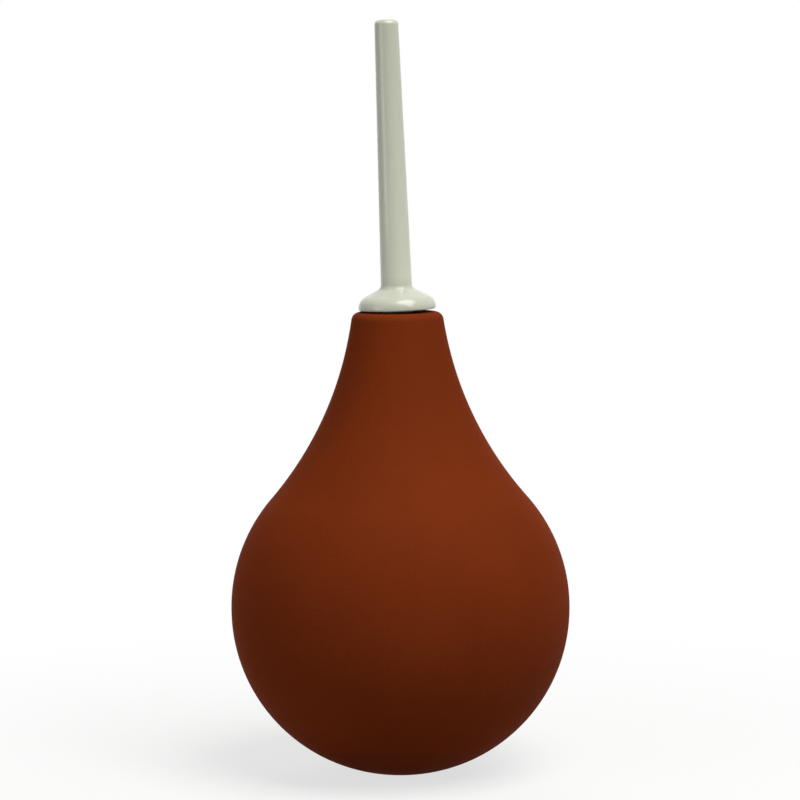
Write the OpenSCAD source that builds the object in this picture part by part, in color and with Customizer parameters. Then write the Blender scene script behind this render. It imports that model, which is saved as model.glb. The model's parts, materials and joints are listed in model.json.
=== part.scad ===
// Bulb enema syringe: a pear-shaped soft bulb with a hard nozzle pushed into its neck.
// The origin is the middle of the bulb's base, and +Z runs up the bulb towards the nozzle.
// The bulb is one soft moulding. Its two side walls, which a hand presses in, are solids of
// their own, so that they can move inwards while the neck and the base stay where they are.

/* [Bulb] */
// Widest diameter of the bulb
belly_d = 80; // [70:0.5:92]
// Height of the widest line above the base
belly_z = 38.6; // [34:0.2:44]
// Height of the bulb from its base to the top of its neck
bulb_h = 108.8; // [100:0.2:120]
// Diameter of the flat that the bulb stands on
base_flat_d = 16; // [10:0.5:30]
// Radius of the hollow curve that leads from the belly to the neck
flare_r = 82; // [60:1:110]
// Diameter of the neck at its top
neck_d = 21.2; // [19:0.2:26]
// Rounding of the neck's top edge
neck_edge_r = 2; // [0.5:0.1:3.5]
// Thickness of the bulb's wall
wall = 2.4; // [1.6:0.1:3.5]
// Thickness of the bulb's floor
floor_t = 2.8; // [1.8:0.1:4]

/* [Neck] */
// Diameter of the hole in the neck that grips the nozzle
neck_bore_d = 8.8; // [7.8:0.1:11]
// Length of the thick part of the neck around that hole
neck_grip_l = 22; // [20.5:0.5:30]
// Slope of the hollow's roof up to the hole, in degrees above level
roof_slope = 27; // [10:1:45]
// Width of the bevel at the hole's mouth
mouth_bevel = 0.8; // [0.2:0.1:1.5]

/* [Squeeze walls] */
// Diameter of each side wall that a hand presses in
squeeze_d = 48; // [36:0.5:56]
// Gap all round each of these walls
squeeze_gap = 0.2; // [0.1:0.05:0.5]

/* [Nozzle tube] */
// Length of the nozzle from its seat on the neck to its tip
nozzle_l = 67.5; // [50:0.5:100]
// Diameter of the tube at its tip
tip_d = 5.5; // [4.8:0.1:6.4]
// Diameter of the tube where it meets the flange
root_d = 7.3; // [6.4:0.1:8.4]
// Diameter of the hole through the nozzle
bore_d = 2.4; // [1.6:0.1:2.8]
// Rounding of the tip
tip_edge_r = 1.1; // [0.3:0.1:1.2]
// Lean of the nozzle to the left in its soft neck, in degrees
nozzle_lean = 1.6; // [0:0.1:3]

/* [Nozzle flange] */
// Diameter of the flange that seats on the neck
flange_d = 18.2; // [15:0.2:21]
// Height of the flange's rim, before its upper edge is rounded
flange_rim_h = 2.2; // [1.8:0.1:2.6]
// Height at which the flange's slope meets the tube
flange_h = 5; // [4.2:0.1:6.5]
// Rounding of the flange's upper edge
flange_edge_r = 3; // [0.4:0.1:3.4]
// Rounding where the tube grows out of the flange
flange_root_r = 1.4; // [0.4:0.1:2]

/* [Nozzle spigot] */
// Length of the spigot that goes down into the neck
spigot_l = 19; // [15:0.5:20]
// Diameter of the spigot between its barbs
spigot_d = 7; // [6:0.1:7.6]
// Number of barbs round the spigot
barb_count = 3; // [1:1:4]
// Length of each barb
barb_l = 3.4; // [2:0.1:3.6]
// Free length of spigot below the last barb
barb_end = 1.5; // [0.5:0.1:2.5]

/* [Fits] */
// Gap round the barbs
fit_gap = 0.05; // [0.02:0.01:0.1]
// Gap under the flange's low edge, as the nozzle is not pushed quite home
seat_gap = 0.35; // [0.05:0.05:0.8]

/* [Hidden] */
$fn = 96;

// Colours of the two mouldings, as photographed
rubber_red = "#7e3412";
ivory_white = "#d6dac0";
// How far a cutting shape runs past what it cuts
past = 1;
// How far arcs that touch are drawn into each other, so that they meet in one clean edge
touch_lap = 0.005;
// Rounds a worked-out length to a thousandth, so that arcs that share a point share it exactly
function neat(length) = round(length * 1000) / 1000;

belly_r = belly_d / 2;
neck_r = neck_d / 2;
neck_bore_r = neck_bore_d / 2;
flange_r = flange_d / 2;
root_r = root_d / 2;
tip_r = tip_d / 2;

// The belly's underside is one arc, level with the belly's side at the widest line and ending at the flat
under_span = belly_r - base_flat_d / 2;
under_r = neat((pow(under_span, 2) + pow(belly_z, 2)) / (2 * under_span));
under_x = belly_r - under_r;

// The flare's circle touches the belly's circle from outside and passes through the neck's top edge
neck_up = bulb_h - belly_z;
neck_far = norm([neck_r, neck_up]);
flare_far = belly_r + flare_r;
flare_turn = acos((pow(flare_far, 2) + pow(neck_far, 2) - pow(flare_r, 2)) / (2 * flare_far * neck_far));
flare_dir = atan2(neck_up, neck_r) - flare_turn;
flare_c = [neat(flare_far * cos(flare_dir)), neat(belly_z + flare_far * sin(flare_dir))];
// The circle that rounds the neck's top edge touches the top and the flare
lip_z = bulb_h - neck_edge_r;
lip_far = flare_r + neck_edge_r;
lip_c = [flare_c[0] - sqrt(pow(lip_far, 2) - pow(lip_z - flare_c[1], 2)), lip_z];
lip_touch = lip_c + (flare_c - lip_c) * neck_edge_r / lip_far;

grip_z = bulb_h - neck_grip_l;
// The leaning flange is lifted until its low edge clears the neck
seat_z = bulb_h + flange_r * sin(nozzle_lean) + seat_gap;

barb_r = neck_bore_r - fit_gap;
barb_pitch = (spigot_l - barb_end) / barb_count;
// The tube's side from the flange to the tip, the flange's slope from the tube to its rim, and their
// unit directions
tube_side = [tip_r - root_r, nozzle_l - flange_h];
slope_side = [flange_r - root_r, flange_rim_h - flange_h];
tube_up = tube_side / norm(tube_side);
slope_out = slope_side / norm(slope_side);

// The sliver between a corner and the arc that rounds it. Added, it fills a corner; cut, it rounds one.
// The corner's two sides run from it along the unit vectors side_a and side_b, which follow each other
// anticlockwise, and the sliver reaches past the corner, away from the arc.
module corner_sliver(corner, side_a, side_b, r) {
    half_angle = acos(side_a * side_b) / 2;
    reach = r / tan(half_angle);
    middle = (side_a + side_b) / norm(side_a + side_b);
    centre = corner + middle * r / sin(half_angle);
    difference() {
        polygon([corner - middle * past, corner + side_a * reach, centre, corner + side_b * reach]);
        translate(centre) circle(r + touch_lap);
    }
}

// Half of a pear's outline, drawn in by inset from the bulb's outside, from floor_z up to top_z
module pear_half(inset, floor_z, top_z) {
    span = belly_r - inset;
    // Where belly and flare touch
    touch = [span * cos(flare_dir), belly_z + span * sin(flare_dir)];
    // The belly's underside, from the floor to the widest line
    intersection() {
        translate([0, floor_z]) square([span + past, belly_z - floor_z]);
        union() {
            translate([under_x, belly_z]) circle(under_r - inset);
            // The middle, which an arc centred to the right of the axis may not reach
            translate([0, floor_z]) square([max(under_x, past), belly_z - floor_z]);
        }
    }
    // The belly's upper side
    intersection() {
        translate([0, belly_z]) square(span + past);
        translate([0, belly_z]) circle(span);
    }
    // The flare
    difference() {
        translate([0, touch[1] - past]) square([touch[0], top_z - touch[1] + past]);
        translate(flare_c) circle(flare_r + inset + touch_lap);
    }
}

module bulb_outline() {
    difference() {
        pear_half(0, 0, bulb_h);
        // What the rounding takes off the neck's top edge
        difference() {
            polygon([lip_c, [lip_c[0], bulb_h + past], [neck_r + past, bulb_h + past], lip_touch]);
            translate(lip_c) circle(neck_edge_r + touch_lap);
        }
    }
}

// The hollow that holds the liquid, with a sloping roof under the thick neck
module hollow_outline() {
    roof_drop = (belly_r - neck_bore_r) * tan(roof_slope);
    intersection() {
        pear_half(wall, floor_t, grip_z);
        polygon([
            [0, floor_t], [belly_r, floor_t], [belly_r, grip_z - roof_drop],
            [neck_bore_r, grip_z], [0, grip_z]
        ]);
    }
}

// Puts its children on the nozzle's leaning axis, with the flange's underside at their level 0
module on_nozzle_axis() {
    translate([0, 0, seat_z]) rotate([0, -nozzle_lean, 0]) children();
}

// The neck's hole follows the nozzle's lean, as a soft neck does
module neck_hole() {
    hole_l = seat_z - grip_z + past;
    on_nozzle_axis() {
        translate([0, 0, -hole_l]) cylinder(r = neck_bore_r, h = hole_l + past);
        translate([0, 0, bulb_h - seat_z - mouth_bevel])
            cylinder(r1 = neck_bore_r, r2 = neck_bore_r + mouth_bevel + past, h = mouth_bevel + past);
    }
}

module bulb_shell() {
    difference() {
        // The turned body starts and ends at the back, away from the side walls
        rotate([0, 0, 90]) rotate_extrude() difference() {
            bulb_outline();
            hollow_outline();
        }
        neck_hole();
    }
}

// A round plug along X, at the left (side -1) or the right (side 1) of the belly
module side_plug(side, r) {
    translate([0, 0, belly_z]) rotate([0, side * 90, 0]) cylinder(r = r, h = belly_r + past);
}

module bulb() {
    color(rubber_red) difference() {
        bulb_shell();
        for (side = [-1, 1]) side_plug(side, squeeze_d / 2);
    }
}

module squeeze_wall(side) {
    color(rubber_red) intersection() {
        bulb_shell();
        side_plug(side, squeeze_d / 2 - squeeze_gap);
    }
}

module left_wall() {
    squeeze_wall(-1);
}

module right_wall() {
    squeeze_wall(1);
}

module tube_outline() {
    corner = [tip_r, nozzle_l];
    difference() {
        polygon([[0, 0], [root_r, 0], [root_r, flange_h], corner, [0, nozzle_l]]);
        corner_sliver(corner, [-1, 0], -tube_up, tip_edge_r);
    }
}

module flange_outline() {
    rim = [flange_r, flange_rim_h];
    difference() {
        polygon([[0, 0], [flange_r, 0], rim, [root_r, flange_h], [0, flange_h]]);
        corner_sliver(rim, -slope_out, [0, -1], flange_edge_r);
    }
    corner_sliver([root_r, flange_h], slope_out, tube_up, flange_root_r);
}

// Each barb widens upwards from the spigot to its sharp top edge
module spigot_outline() {
    translate([0, -spigot_l]) square([spigot_d / 2, spigot_l + flange_rim_h]);
    for (i = [0 : barb_count - 1]) {
        translate([0, barb_end - spigot_l + i * barb_pitch])
            polygon([[0, 0], [spigot_d / 2, 0], [barb_r, barb_l], [0, barb_l]]);
    }
}

module nozzle() {
    color(ivory_white) on_nozzle_axis() difference() {
        rotate_extrude() {
            tube_outline();
            flange_outline();
            spigot_outline();
        }
        translate([0, 0, -spigot_l - past]) cylinder(d = bore_d, h = spigot_l + nozzle_l + 2 * past);
    }
}

bulb();
left_wall();
right_wall();
nozzle();
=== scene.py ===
"""Bulb enema syringe: a soft brick-red bulb, squeezed between its side walls, with a hard ivory nozzle.

Lengths are in metres and angles in degrees, in the part's own frame: the origin is the middle of the base,
+Z runs up to the nozzle and +X is to the right in the photograph's view.
"""
import json
import math

import bpy
import numpy as np
from mathutils import Matrix, Vector


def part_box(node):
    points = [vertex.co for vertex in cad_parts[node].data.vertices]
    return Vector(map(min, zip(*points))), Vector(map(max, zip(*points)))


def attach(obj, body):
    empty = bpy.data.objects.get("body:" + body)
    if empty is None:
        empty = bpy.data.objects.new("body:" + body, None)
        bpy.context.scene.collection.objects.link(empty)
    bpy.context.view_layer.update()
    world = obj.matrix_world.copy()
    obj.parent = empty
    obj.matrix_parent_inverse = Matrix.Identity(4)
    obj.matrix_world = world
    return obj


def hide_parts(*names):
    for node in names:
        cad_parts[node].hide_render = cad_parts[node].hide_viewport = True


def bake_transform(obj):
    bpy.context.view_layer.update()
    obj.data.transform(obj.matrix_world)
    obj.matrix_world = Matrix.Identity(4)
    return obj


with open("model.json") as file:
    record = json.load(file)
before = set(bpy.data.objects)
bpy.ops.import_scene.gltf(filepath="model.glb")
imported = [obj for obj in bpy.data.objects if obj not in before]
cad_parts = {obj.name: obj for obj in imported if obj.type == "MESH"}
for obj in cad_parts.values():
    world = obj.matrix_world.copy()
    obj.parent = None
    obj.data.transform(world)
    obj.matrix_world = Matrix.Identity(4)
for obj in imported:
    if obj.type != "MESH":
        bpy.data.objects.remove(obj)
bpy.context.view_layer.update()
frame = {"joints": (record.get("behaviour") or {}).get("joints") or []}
scene = bpy.context.scene
MM = 0.001

# Sizes of the bulb, as its solids have them
BELLY_R = 40 * MM
BELLY_Z = 38.6 * MM
BULB_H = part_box("bulb")[1].z
BASE_FLAT_R = 8 * MM
FLARE_R = 82 * MM
NECK_R = 10.6 * MM
LIP_R = 2 * MM
WALL = 2.4 * MM
FLOOR_T = 2.8 * MM
NECK_BORE_R = 4.4 * MM
MOUTH_R = 0.8 * MM
GRIP_Z = BULB_H - 22 * MM
ROOF_SLOPE = 27
BULB_SEAM_W = 0.9 * MM
BULB_SEAM_H = 0.07 * MM
BULB_SEAM_FULL_R = 20 * MM
SEAM_FADE = 6 * MM

# Sizes of the nozzle, along its own axis from the seat on the neck
NOZZLE_L = 67.5 * MM
TIP_R = 2.75 * MM
TIP_EDGE_R = 1.1 * MM
ROOT_R = 3.65 * MM
BORE_R = 1.2 * MM
BORE_EDGE_R = 0.2 * MM
FLANGE_R = 9.1 * MM
FLANGE_RIM_H = 2.2 * MM
FLANGE_H = 5 * MM
FLANGE_EDGE_R = 3 * MM
FLANGE_ROOT_R = 1.4 * MM
FLANGE_LOW_EDGE_R = 0.3 * MM
SPIGOT_L = 19 * MM
SPIGOT_R = 3.5 * MM
SPIGOT_EDGE_R = 0.4 * MM
BARB_COUNT = 3
BARB_L = 3.4 * MM
BARB_END = 1.5 * MM
BARB_EDGE_R = 0.12 * MM
FIT_GAP = 0.05 * MM
SEAT_GAP = 0.35 * MM
NOZZLE_SEAM_W = 0.5 * MM
NOZZLE_SEAM_H = 0.03 * MM
NOZZLE_SEAM_FULL_R = 3 * MM
# Painted shade that its ivory is multiplied by, by height: up to the flange's head, at the root and at the
# tip
NOZZLE_PAINTED_SHADE = ((FLANGE_H, "#ebebeb"), (8 * MM, "#ffffff"), (NOZZLE_L, "#ebebeb"))

# Points along the bulb's profile, stretch by stretch from the base to the mouth of the neck's hole
BASE_POINTS = 8
UNDER_POINTS = 56
BELLY_POINTS = 32
FLARE_POINTS = 20
NECK_POINTS = 32
LIP_POINTS = 16
TOP_POINTS = 8
MOUTH_POINTS = 9
# Points of a rounded corner, columns of points across a moulding seam, and columns on either side of one
CORNER_POINTS = 9
SEAM_COLUMNS = 9
BULB_COLUMNS = 47
NOZZLE_COLUMNS = 33

# The camera of the photograph, with its lens and sensor in millimetres
CAMERA_PLACE = (0, -0.7, 0.155)
CAMERA_AIM = (0.0004, 0, 0.0880)
CAMERA_ROLL = -0.60
CAMERA_LENS = 134.45
CAMERA_SENSOR = 36

# The lamps' distance, the height that they aim at, and how brightly the room lights the object
LAMP_FAR = 1.1
LAMP_AIM_Z = BULB_H * 0.75
ROOM_LEVEL = 0.11
# Half the floor's side, its drop below the base, and how much of its white is glow near the object, rising
# to all of it between two distances, so that the shadow fades out
FLOOR_REACH = 3
FLOOR_DROP = 0.1 * MM
FLOOR_GLOW = 0.7
FADE_START = 0.05
FADE_END = 0.22

# The nozzle's axis comes from its joint, and its seat keeps the leaning flange's low edge clear of the neck
pull = next(joint for joint in frame["joints"] if joint["name"] == "nozzle_pull")
NOZZLE_LEAN = math.atan2(-pull["axis"][0], pull["axis"][2])
SEAT_Z = BULB_H + FLANGE_R * math.sin(NOZZLE_LEAN) + SEAT_GAP


# Shader nodes

# Colour sockets of a Mix node, by number because several of its sockets share a name
MIX_A = 6
MIX_B = 7
MIX_RESULT = 2


def linear(colour):
    """An sRGB hex colour as linear red, green, blue and alpha."""
    parts = [int(colour[i:i + 2], 16) / 255 for i in (1, 3, 5)]
    return [p / 12.92 if p <= 0.04045 else ((p + 0.055) / 1.055) ** 2.4 for p in parts] + [1.0]


def per_metre(size_mm):
    """Scale of a noise whose features are about size_mm across."""
    return 1 / (size_mm * MM)


def add_node(tree, kind, inputs=None, **settings):
    """Adds one node. Settings are its own properties, and inputs gives each socket, by its name or its
    number, a value or the output socket that feeds it."""
    node = tree.nodes.new(kind)
    for key, value in settings.items():
        setattr(node, key, value)
    for key, value in (inputs or {}).items():
        if isinstance(value, bpy.types.NodeSocket):
            tree.links.new(value, node.inputs[key])
        else:
            node.inputs[key].default_value = value
    return node


def new_material(name):
    """An empty material, its node tree and its output node."""
    material = bpy.data.materials.new(name)
    material.use_nodes = True
    material.node_tree.nodes.clear()
    return material, material.node_tree, add_node(material.node_tree, "ShaderNodeOutputMaterial")


# Materials

def moulded_red_rubber():
    """Red-brown rubber from a blasted mould: a dull skin, a little cloudy in colour, with a fine even grain
    that breaks up what little it reflects."""
    material, tree, output = new_material("moulded_red_rubber")
    place = add_node(tree, "ShaderNodeTexCoord").outputs["Object"]
    cloud = add_node(tree, "ShaderNodeTexNoise",
                     {"Vector": place, "Scale": per_metre(22), "Detail": 4, "Roughness": 0.55})
    colour = add_node(tree, "ShaderNodeMix",
                      {"Factor": cloud.outputs["Fac"],
                       MIX_A: linear("#6f2a0b"), MIX_B: linear("#833411")},
                      data_type="RGBA")
    dullness = add_node(tree, "ShaderNodeMapRange",
                        {"Value": cloud.outputs["Fac"], "To Min": 0.78, "To Max": 0.88})
    # The mould's grain is about 0.2 mm, drawn at 0.5 mm so that it shows in the picture
    grain = add_node(tree, "ShaderNodeTexNoise",
                     {"Vector": place, "Scale": per_metre(0.5), "Detail": 2, "Roughness": 0.5})
    relief = add_node(tree, "ShaderNodeBump",
                      {"Height": grain.outputs["Fac"], "Strength": 0.8, "Distance": 0.12 * MM})
    shader = add_node(tree, "ShaderNodeBsdfPrincipled",
                      {"Base Color": colour.outputs[MIX_RESULT], "Roughness": dullness.outputs["Result"],
                       "Normal": relief.outputs["Normal"], "IOR": 1.52,
                       "Specular IOR Level": 0.05})
    tree.links.new(shader.outputs["BSDF"], output.inputs["Surface"])
    return material


def moulded_ivory_plastic():
    """Ivory polystyrene from a polished mould: hard, glossy and a little deep, with faint flow clouds drawn
    out along the nozzle and a skin that is not quite even. Its colour is matched to the photograph as a
    little darker at the tip and on the flange than at the root: painted shade, which stands for light that
    soaks in and is lost, in the dark neck under the flange and through the thin tip."""
    material, tree, output = new_material("moulded_ivory_plastic")
    place = add_node(tree, "ShaderNodeTexCoord").outputs["Object"]
    drawn_out = add_node(tree, "ShaderNodeMapping", {"Vector": place, "Scale": (1, 1, 0.2)})
    flow = add_node(tree, "ShaderNodeTexNoise",
                    {"Vector": drawn_out.outputs["Vector"], "Scale": per_metre(4), "Detail": 3})
    clouds = add_node(tree, "ShaderNodeMix",
                      {"Factor": flow.outputs["Fac"],
                       MIX_A: linear("#dbdfc9"), MIX_B: linear("#e2e6d2")},
                      data_type="RGBA")
    # Painted shade along the nozzle: darker on the flange and at the tip than at the root
    height = add_node(tree, "ShaderNodeSeparateXYZ", {"Vector": place})
    along = add_node(tree, "ShaderNodeMapRange",
                     {"Value": height.outputs["Z"], "From Min": SEAT_Z, "From Max": SEAT_Z + NOZZLE_L})
    shade = add_node(tree, "ShaderNodeValToRGB", {"Fac": along.outputs["Result"]})
    # A new ramp has two stops, and the first of them is used again
    stops = shade.color_ramp.elements
    stops.remove(stops[1])
    for number, (up, grey) in enumerate(NOZZLE_PAINTED_SHADE):
        stop = stops.new(up / NOZZLE_L) if number else stops[0]
        stop.position = up / NOZZLE_L
        stop.color = linear(grey)
    colour = add_node(tree, "ShaderNodeMix",
                      {"Factor": 1.0, MIX_A: clouds.outputs[MIX_RESULT], MIX_B: shade.outputs["Color"]},
                      data_type="RGBA", blend_type="MULTIPLY")
    dullness = add_node(tree, "ShaderNodeMapRange",
                        {"Value": flow.outputs["Fac"], "To Min": 0.05, "To Max": 0.1})
    ripple = add_node(tree, "ShaderNodeTexNoise",
                      {"Vector": drawn_out.outputs["Vector"], "Scale": per_metre(1.5), "Detail": 1})
    relief = add_node(tree, "ShaderNodeBump",
                      {"Height": ripple.outputs["Fac"], "Strength": 0.1, "Distance": 0.03 * MM})
    shader = add_node(tree, "ShaderNodeBsdfPrincipled",
                      {"Base Color": colour.outputs[MIX_RESULT], "Roughness": dullness.outputs["Result"],
                       "Normal": relief.outputs["Normal"], "IOR": 1.54,
                       "Subsurface Weight": 0.5, "Subsurface Radius": (1.0, 0.9, 0.7),
                       "Subsurface Scale": 2 * MM})
    tree.links.new(shader.outputs["BSDF"], output.inputs["Surface"])
    return material


def seen_ray(tree):
    """1 for rays from the camera, or from a mirror or a clear surface that shows what is behind, else 0."""
    path = add_node(tree, "ShaderNodeLightPath")
    direct = add_node(tree, "ShaderNodeMath",
                      {0: path.outputs["Is Camera Ray"], 1: path.outputs["Is Glossy Ray"]},
                      operation="MAXIMUM")
    return add_node(tree, "ShaderNodeMath",
                    {0: direct.outputs["Value"], 1: path.outputs["Is Transmission Ray"]},
                    operation="MAXIMUM").outputs["Value"]


def studio_floor_paint():
    """Matt white paint, seen as white paper that still takes the shadow. For light that bounces up to the
    object it is a mid grey, as a small paper sheet on a dark table would be."""
    material, tree, output = new_material("studio_floor_paint")
    place = add_node(tree, "ShaderNodeTexCoord").outputs["Object"]
    far = add_node(tree, "ShaderNodeVectorMath", {0: place}, operation="LENGTH")
    fade = add_node(tree, "ShaderNodeMapRange",
                    {"Value": far.outputs["Value"], "From Min": FADE_START, "From Max": FADE_END,
                     "To Min": FLOOR_GLOW, "To Max": 1.0}, interpolation_type="SMOOTHSTEP")
    paint = add_node(tree, "ShaderNodeBsdfDiffuse", {"Color": linear("#f4f4f2")})
    glow = add_node(tree, "ShaderNodeEmission", {"Color": linear("#ffffff"), "Strength": 1.0})
    paper = add_node(tree, "ShaderNodeMixShader",
                     {0: fade.outputs["Result"], 1: paint.outputs["BSDF"], 2: glow.outputs["Emission"]})
    bounce = add_node(tree, "ShaderNodeBsdfDiffuse", {"Color": linear("#9a9a98")})
    both = add_node(tree, "ShaderNodeMixShader",
                    {0: seen_ray(tree), 1: bounce.outputs["BSDF"], 2: paper.outputs["Shader"]})
    tree.links.new(both.outputs["Shader"], output.inputs["Surface"])
    return material


# Profiles: lists of (radius, height) points in a plane through the axis of a turned piece

def arc(centre, radius, start, end, count):
    """Points centre + radius * (cos a, sin a) for count angles a from start to end."""
    a = np.radians(np.linspace(start, end, count))
    return np.column_stack([centre[0] + radius * np.cos(a), centre[1] + radius * np.sin(a)])


def line(start, end, count):
    """Evenly spaced points from start to end."""
    return np.linspace(start, end, count)


def chain(*stretches):
    """Stretches joined end to end, with each shared point kept once."""
    return np.concatenate([s[:-1] for s in stretches[:-1]] + [stretches[-1]])


def way(start, end):
    """Angle of the way from start to end, from -180 to 180."""
    return math.degrees(math.atan2(end[1] - start[1], end[0] - start[0]))


def rounded_corner(before, corner, after, radius, count):
    """The arc that rounds a corner of an outline, and its normals, to the right of the outline's way. It
    touches both sides at radius / tan(half the angle between them), and its centre lies on their bisector
    at radius / sin(half the angle)."""
    sides = [before - corner, after - corner]
    a, b = (side / np.linalg.norm(side) for side in sides)
    half = math.acos(float(np.clip(a @ b, -1, 1))) / 2
    centre = corner + (a + b) / np.linalg.norm(a + b) * radius / math.sin(half)
    reach = radius / math.tan(half)
    start = way(centre, corner + a * reach)
    sweep = (way(centre, corner + b * reach) - start + 180) % 360 - 180
    points = arc(centre, radius, start, start + sweep, count)
    return points, np.sign(sweep) * (points - centre) / radius


def rounded_outline(corners):
    """A closed outline from corners (r, z, rounding radius), each replaced by its arc, and its normals."""
    place = np.array([c[:2] for c in corners])
    arcs = [
        rounded_corner(place[i - 1], place[i], place[(i + 1) % len(place)], corners[i][2], CORNER_POINTS)
        for i in range(len(place))
    ]
    return [np.concatenate(part) for part in zip(*arcs)]


# Meshes

def turned(profile, angles):
    """The grid (r cos a, r sin a, z): one row per row of angles a, one column per profile point (r, z)."""
    a = np.radians(angles)
    r, z = profile.T
    return np.stack([r * np.cos(a), r * np.sin(a), np.broadcast_to(z, a.shape)], axis=-1)


def ramp(value, length):
    """0 up to value 0, 1 from length on, and the smooth step 3 t^2 - 2 t^3 of t = value / length between."""
    t = np.clip(value / length, 0, 1)
    return t * t * (3 - 2 * t)


def seam_columns(radii, width, full_r, count):
    """Columns of a half circle about a moulding seam at angle 0: their angles, one row per column and one
    column per radius, and each row's place p across the seam, from -1 at one edge to 1 at the other. The
    columns across the seam span its full width from the radius full_r on, and count more lie evenly on
    either side up to 90 degrees."""
    across = np.linspace(-1, 1, SEAM_COLUMNS)
    near = np.degrees(across[:, None] * width / 2 / np.maximum(radii, full_r))
    rest = np.linspace(math.degrees(width / full_r), 90, count)
    far = np.tile(rest[:, None], len(radii))
    edge = np.ones(count)
    return np.concatenate([-far[::-1], near, far]), np.concatenate([-edge, across, edge])


def raise_seam(points, normals, angles, place, radii, width, height, full_r, show):
    """Lifts a turned grid along its normals by show * height * min(1, r / full_r) * (1 - p^2)^2, the ridge
    that a mould's two halves leave, and tips the normals by its slope along the circle, which is
    -8 * show * height / width * p * (1 - p^2)."""
    p = place[:, None]
    a = np.radians(angles)
    lift = show * height * np.minimum(1, radii / full_r) * (1 - p * p) ** 2
    slope = -8 * show * height / width * p * (1 - p * p)
    around = np.stack([-np.sin(a), np.cos(a), np.zeros_like(a)], axis=-1)
    tipped = normals - slope[:, :, None] * around
    return points + lift[:, :, None] * normals, tipped / np.linalg.norm(tipped, axis=-1, keepdims=True)


def profile_normals(profile):
    """Unit normals (n_r, n_z) to the right of the profile's way, from its slope along its length."""
    steps = np.linalg.norm(np.diff(profile, axis=0), axis=1)
    slope = np.gradient(profile, np.concatenate([[0], np.cumsum(steps)]), axis=0)
    normal = np.column_stack([slope[:, 1], -slope[:, 0]])
    return normal / np.linalg.norm(normal, axis=1, keepdims=True)


def grid_corners(grid):
    """The four corners of each cell of a grid, in the order that makes its faces point outwards."""
    return np.stack([grid[:-1, :-1], grid[1:, :-1], grid[1:, 1:], grid[:-1, 1:]], axis=2)


def add_piece(name, points, faces, normals, material, nodes):
    """One smooth mesh piece with a normal for each corner of its faces and the given material, which stands
    for the CAD nodes that it hides."""
    mesh = bpy.data.meshes.new(name)
    mesh.from_pydata(points.tolist(), [], faces)
    mesh.polygons.foreach_set("use_smooth", np.ones(len(mesh.polygons), bool))
    mesh.materials.append(material)
    mesh.update()
    mesh.normals_split_custom_set(normals.tolist())
    piece = bpy.data.objects.new(name, mesh)
    scene.collection.objects.link(piece)
    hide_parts(*nodes)
    return piece


# The bulb: one soft moulding, shown as two halves that meet in the plane x = 0

def bulb_profiles():
    """The bulb's outside, from the middle of the base up to the rim of the neck's hole, and its inside, from
    the middle of the floor up to the same point, with as many points. The underside is an arc, upright at
    the widest line, that ends at the base flat. The flare is an arc that touches the belly's circle from
    outside and passes through the neck's top edge. The inside repeats them, drawn in by the wall, under a
    sloping roof. The third result is how far each inside point follows the leaning hole, 0 to 1."""
    span = BELLY_R - BASE_FLAT_R
    under_r = (span ** 2 + BELLY_Z ** 2) / (2 * span)
    under_c = np.array([BELLY_R - under_r, BELLY_Z])
    belly_c = np.array([0, BELLY_Z])
    neck_top = np.array([NECK_R, BULB_H])
    neck_far = np.linalg.norm(neck_top - belly_c)
    flare_far = BELLY_R + FLARE_R
    turn = math.acos((flare_far ** 2 + neck_far ** 2 - FLARE_R ** 2) / (2 * flare_far * neck_far))
    touch = way(belly_c, neck_top) - math.degrees(turn)
    flare_c = arc(belly_c, flare_far, touch, touch, 1)[0]
    lip_z = BULB_H - LIP_R
    lip_c = np.array([flare_c[0] - math.sqrt((FLARE_R + LIP_R) ** 2 - (lip_z - flare_c[1]) ** 2), lip_z])
    lip_way = way(lip_c, flare_c)

    # The roof's line runs down and out from the hole, to the nearer of its two crossings with the flare
    slope = np.radians(ROOF_SLOPE)
    down = np.array([np.cos(slope), -np.sin(slope)])
    roof_top = np.array([NECK_BORE_R, GRIP_Z])
    along = (flare_c - roof_top) @ down
    off = np.linalg.norm(flare_c - roof_top - along * down)
    roof_foot = roof_top + (along - math.sqrt((FLARE_R + WALL) ** 2 - off ** 2)) * down
    roof_way = way(flare_c, roof_foot) + 360

    floor_x = under_c[0] + math.sqrt((under_r - WALL) ** 2 - (BELLY_Z - FLOOR_T) ** 2)
    mouth_c = (NECK_BORE_R + MOUTH_R, BULB_H - MOUTH_R)
    outside = chain(
        line((0, 0), (BASE_FLAT_R, 0), BASE_POINTS),
        arc(under_c, under_r, way(under_c, (BASE_FLAT_R, 0)), 0, UNDER_POINTS),
        arc(belly_c, BELLY_R, 0, touch, BELLY_POINTS),
        arc(flare_c, FLARE_R, touch + 180, roof_way, FLARE_POINTS),
        arc(flare_c, FLARE_R, roof_way, lip_way + 180, NECK_POINTS),
        arc(lip_c, LIP_R, lip_way, 90, LIP_POINTS),
        line((lip_c[0], BULB_H), (mouth_c[0], BULB_H), TOP_POINTS),
        arc(mouth_c, MOUTH_R, 90, 180, MOUTH_POINTS),
    )
    hollow = chain(
        line((0, FLOOR_T), (floor_x, FLOOR_T), BASE_POINTS),
        arc(under_c, under_r - WALL, way(under_c, (floor_x, FLOOR_T)), 0, UNDER_POINTS),
        arc(belly_c, BELLY_R - WALL, 0, touch, BELLY_POINTS),
        arc(flare_c, FLARE_R + WALL, touch + 180, roof_way, FLARE_POINTS),
    )
    roof = line(roof_foot, roof_top, NECK_POINTS)
    # The hole has the points of the lip, the top and the mouth, of which two are shared
    hole_points = LIP_POINTS + TOP_POINTS + MOUTH_POINTS - 2
    hole = line(roof_top, (NECK_BORE_R, BULB_H - MOUTH_R), hole_points)
    lean = chain(np.zeros(len(hollow)), np.linspace(0, 1, len(roof)), np.ones(len(hole)))
    return outside, chain(hollow, roof, hole), lean


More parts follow.
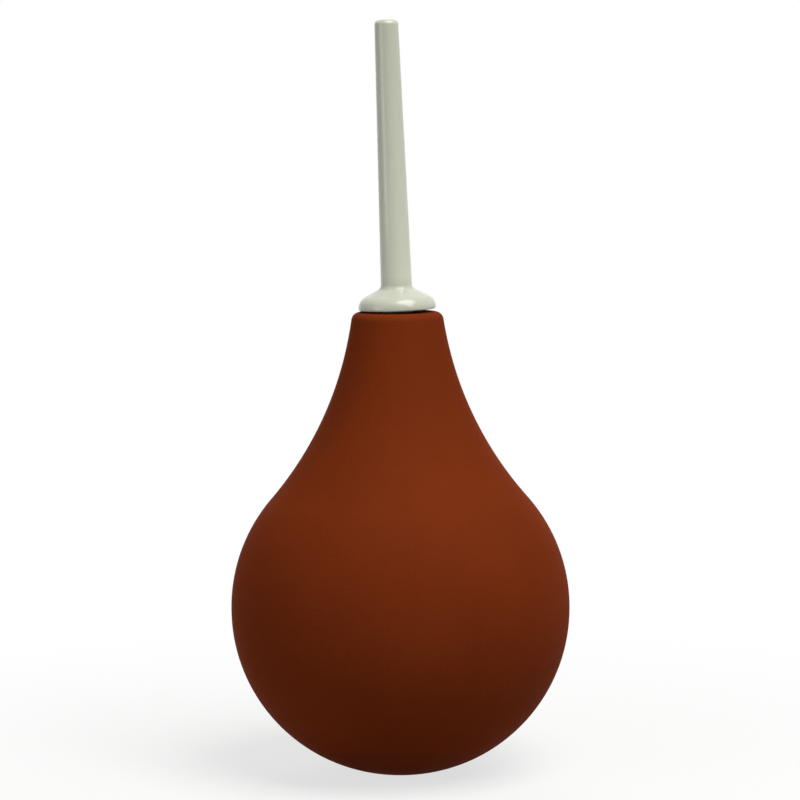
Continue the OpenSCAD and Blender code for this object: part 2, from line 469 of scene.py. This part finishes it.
def half_bulb(name, side, wall, material):
    """The half of the bulb at x > 0 (side 1) or x < 0 (side -1): its outside and inside turned through half
    a circle, closed by the cut face. Points of the neck's hole shift along x by the lean's tangent times
    their depth. It hides the bulb's CAD node and that of its wall."""
    outside, inside, lean = bulb_profiles()
    profile = chain(outside, inside[::-1])
    slopes = profile_normals(profile)
    rim = len(outside) - 1
    radii, heights = profile.T
    angles, place = seam_columns(radii, BULB_SEAM_W, BULB_SEAM_FULL_R, BULB_COLUMNS)
    angles = angles + 90 - 90 * side
    on_outside = np.arange(len(profile)) < rim
    show = ramp(heights, SEAM_FADE) * ramp(BULB_H - LIP_R - heights, SEAM_FADE) * on_outside
    points, normals = raise_seam(turned(profile, angles), turned(slopes, angles), angles, place, radii,
                                 BULB_SEAM_W, BULB_SEAM_H, BULB_SEAM_FULL_R, show)
    follow = np.concatenate([np.zeros(rim), lean[::-1]])
    points[:, :, 0] += math.tan(NOZZLE_LEAN) * (SEAT_Z - heights) * follow

    # The first and the last point lie on the axis, so each is one point for all angles
    index = np.arange(points[:, :, 0].size).reshape(len(angles), -1)
    index[:, 0] = index[0, 0]
    index[:, -1] = index[0, -1]
    used, index = np.unique(index, return_inverse=True)
    index = index.reshape(len(angles), -1)
    cells = grid_corners(index)
    corners = grid_corners(normals)
    # The cells at the axis are triangles, made of three of their corners
    low, high = [0, 2, 3], [0, 1, 2]
    faces = cells[:, 1:-1].reshape(-1, 4).tolist()
    faces += cells[:, 0, low].tolist() + cells[:, -1, high].tolist()
    face_normals = [corners[:, 1:-1].reshape(-1, 3), corners[:, 0, low].reshape(-1, 3),
                    corners[:, -1, high].reshape(-1, 3)]

    # The cut face is a strip at each end of the half circle, from the outside's points to the inside's,
    # and ends in a triangle at the rim of the hole, which both share
    for row, order in ((0, 1), (-1, -1)):
        outer = index[row, :rim + 1]
        inner = index[row, :rim - 1:-1]
        strip = np.stack([outer[:-1], outer[1:], inner[1:], inner[:-1]], axis=1)
        faces += strip[:-1, ::order].tolist() + strip[-1:, [0, 1, 3]][:, ::order].tolist()
        face_normals.append(np.tile([-side, 0, 0], (4 * len(strip) - 1, 1)))

    piece = add_piece(name, points.reshape(-1, 3)[used], faces, np.concatenate(face_normals), material,
                      ["bulb", wall])
    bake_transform(piece)


# The nozzle: one hard moulding with a tapered tube, a flange and a barbed spigot

def nozzle_outline():
    """The nozzle's closed outline about its own axis, from the bore's lower end round the outside to the tip
    and back down the bore, and its normals. Each barb widens upwards to a sharp top edge."""
    pitch = (SPIGOT_L - BARB_END) / BARB_COUNT
    barb_r = NECK_BORE_R - FIT_GAP
    corners = [(BORE_R, -SPIGOT_L, BORE_EDGE_R), (SPIGOT_R, -SPIGOT_L, SPIGOT_EDGE_R)]
    for i in range(BARB_COUNT):
        foot = BARB_END - SPIGOT_L + i * pitch
        corners += [(SPIGOT_R, foot, BARB_EDGE_R), (barb_r, foot + BARB_L, BARB_EDGE_R),
                    (SPIGOT_R, foot + BARB_L, BARB_EDGE_R)]
    corners += [
        (SPIGOT_R, 0, FLANGE_LOW_EDGE_R),
        (FLANGE_R, 0, FLANGE_LOW_EDGE_R),
        (FLANGE_R, FLANGE_RIM_H, FLANGE_EDGE_R),
        (ROOT_R, FLANGE_H, FLANGE_ROOT_R),
        (TIP_R, NOZZLE_L, TIP_EDGE_R),
        (BORE_R, NOZZLE_L, BORE_EDGE_R),
    ]
    return rounded_outline(corners)


def ivory_nozzle(material):
    """The outline turned through two half circles, each about a moulding seam, leant over about Y and set on
    the neck. The seams run up the flange's rim and the tube, and fade on the tip."""
    outline, slopes = nozzle_outline()
    radii, heights = outline.T
    half, place = seam_columns(radii, NOZZLE_SEAM_W, NOZZLE_SEAM_FULL_R, NOZZLE_COLUMNS)
    angles = np.concatenate([half[:-1], half[:-1] + 180])
    place = np.tile(place[:-1], 2)
    show = ramp(radii - BORE_R - BORE_EDGE_R, TIP_EDGE_R) * (heights >= FLANGE_LOW_EDGE_R)
    points, normals = raise_seam(turned(outline, angles), turned(slopes, angles), angles, place, radii,
                                 NOZZLE_SEAM_W, NOZZLE_SEAM_H, NOZZLE_SEAM_FULL_R, show)
    lean = np.array(Matrix.Rotation(-NOZZLE_LEAN, 3, "Y"))
    index = np.arange(angles.size).reshape(angles.shape)
    index = grid_corners(np.pad(index, ((0, 1), (0, 1)), mode="wrap")).reshape(-1, 4)
    points = points.reshape(-1, 3) @ lean.T + np.array([0, 0, SEAT_Z])
    normals = (normals @ lean.T).reshape(-1, 3)
    piece = add_piece("ivory_nozzle", points, index.tolist(), normals[index.ravel()], material,
                      ["nozzle"])
    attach(piece, "nozzle")


# Camera, floor and light

def look_at(place, target, roll=0):
    """The matrix of a camera or lamp at place that looks at target, turned by roll about its own sight."""
    sight = (Vector(target) - Vector(place)).to_track_quat("-Z", "Y").to_matrix().to_4x4()
    return Matrix.Translation(place) @ sight @ Matrix.Rotation(math.radians(roll), 4, "Z")


def photo_camera():
    """The photograph's view: a little below the nozzle's tip, straight in front, slightly rolled."""
    lens = bpy.data.cameras.new("photo_camera")
    lens.lens = CAMERA_LENS
    lens.sensor_width = CAMERA_SENSOR
    lens.clip_start = 0.01
    camera = bpy.data.objects.new("photo_camera", lens)
    camera.matrix_world = look_at(CAMERA_PLACE, CAMERA_AIM, CAMERA_ROLL)
    scene.collection.objects.link(camera)
    scene.camera = camera


def softbox(name, azimuth, elevation, size, level, gloss=True):
    """A square lamp of the given side, aimed at the middle of the object from LAMP_FAR away. Azimuth is to
    the right of the camera's side, and level is the brightness of a white surface that faces the lamp, which
    is its watts / (pi * LAMP_FAR) ^ 2. Without gloss, it makes no highlights."""
    a, e = math.radians(azimuth), math.radians(elevation)
    middle = Vector((0, 0, LAMP_AIM_Z))
    way_out = Vector((math.sin(a) * math.cos(e), -math.cos(a) * math.cos(e), math.sin(e)))
    lamp = bpy.data.lights.new(name, "AREA")
    lamp.size = size
    lamp.energy = level * (math.pi * LAMP_FAR) ** 2
    box = bpy.data.objects.new(name, lamp)
    box.matrix_world = look_at(middle + way_out * LAMP_FAR, middle)
    box.visible_glossy = gloss
    scene.collection.objects.link(box)


def studio():
    """A white floor just under the base, a broad soft lamp at the upper right in front with a small one
    under it, which makes the glints, weak ones low at the left and low behind, and a pale room."""
    corners = np.array([[-1, -1], [1, -1], [1, 1], [-1, 1]]) * FLOOR_REACH
    corners = np.column_stack([corners, np.full(4, -FLOOR_DROP)])
    mesh = bpy.data.meshes.new("studio_floor")
    mesh.from_pydata(corners.tolist(), [], [[0, 1, 2, 3]])
    mesh.materials.append(studio_floor_paint())
    floor = bpy.data.objects.new("studio_floor", mesh)
    scene.collection.objects.link(floor)

    softbox("key_lamp", azimuth=42, elevation=63, size=0.75, level=0.87)
    softbox("glint_lamp", azimuth=43, elevation=36, size=0.28, level=0.14)
    softbox("fill_lamp", azimuth=-60, elevation=15, size=0.6, level=0.16)
    softbox("back_lamp", azimuth=180, elevation=20, size=0.8, level=0.45, gloss=False)

    world = bpy.data.worlds.new("pale_room")
    world.use_nodes = True
    tree = world.node_tree
    tree.nodes.clear()
    output = add_node(tree, "ShaderNodeOutputWorld")
    strength = add_node(tree, "ShaderNodeMapRange",
                        {"Value": seen_ray(tree), "To Min": ROOM_LEVEL, "To Max": 1.0})
    sky = add_node(tree, "ShaderNodeBackground",
                   {"Color": linear("#ffffff"), "Strength": strength.outputs["Result"]})
    tree.links.new(sky.outputs["Background"], output.inputs["Surface"])
    scene.world = world


photo_camera()
studio()
scene.view_settings.view_transform = "Standard"

rubber = moulded_red_rubber()
half_bulb("bulb_right_half", 1, "right_wall", rubber)
half_bulb("bulb_left_half", -1, "left_wall", rubber)
ivory_nozzle(moulded_ivory_plastic())
